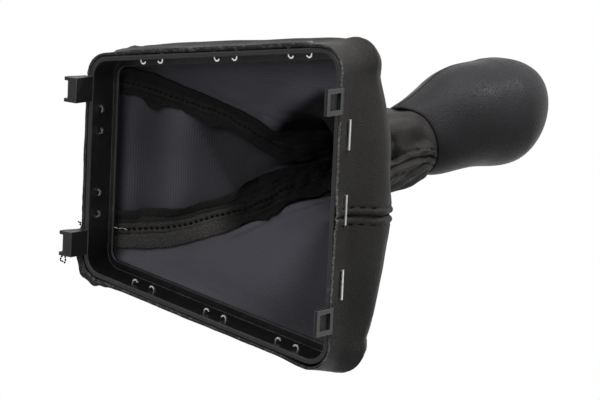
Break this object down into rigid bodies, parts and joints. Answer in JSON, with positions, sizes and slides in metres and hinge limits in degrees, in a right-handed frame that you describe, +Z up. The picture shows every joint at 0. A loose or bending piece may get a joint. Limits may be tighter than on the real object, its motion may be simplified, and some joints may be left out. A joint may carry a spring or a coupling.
{
  "type": "gear knob",
  "caption": "Gear knob with a pear-shaped grip on a sewn leather-look gaiter, held to a trapezoid snap-in frame that clips into a centre console.",
  "frame": {"origin": "middle of the part's box, on the plane of the four clip tips that it stands on", "axes": "+Z up from the frame to the knob, -Y towards the frame's wide end, +X to the right seen from the wide end"},
  "size_m": [0.1426, 0.1516, 0.1939],
  "materials": {
    "moulded_plastic": "black, lightly textured",
    "artificial_leather": "black leather grain, grey ribbed fabric back",
    "knob_leather": "dark grey, fine grain, worn shiny in places",
    "core_plastic": "dark grey",
    "bright_wire": "bright staple wire",
    "sleeve_steel": "plain steel",
    "black_nylon": "black"
  },
  "bodies": {
    "root": {"snap_in_frame": "moulded_plastic", "gaiter_left_panel": "artificial_leather", "gaiter_right_panel": "artificial_leather", "gaiter_narrow_panel": "artificial_leather", "knob_cover": "knob_leather", "knob_core": "core_plastic", "knob_cap": "moulded_plastic", "lever_sleeve": "sleeve_steel", "gaiter_collar": "moulded_plastic", "gaiter_tie": "black_nylon", "staple_01": "bright_wire", "staple_02": "bright_wire", "staple_03": "bright_wire", "staple_04": "bright_wire", "staple_05": "bright_wire", "staple_06": "bright_wire", "staple_07": "bright_wire", "staple_08": "bright_wire", "staple_09": "bright_wire", "staple_10": "bright_wire", "staple_11": "bright_wire"}
  },
  "joints": []
}
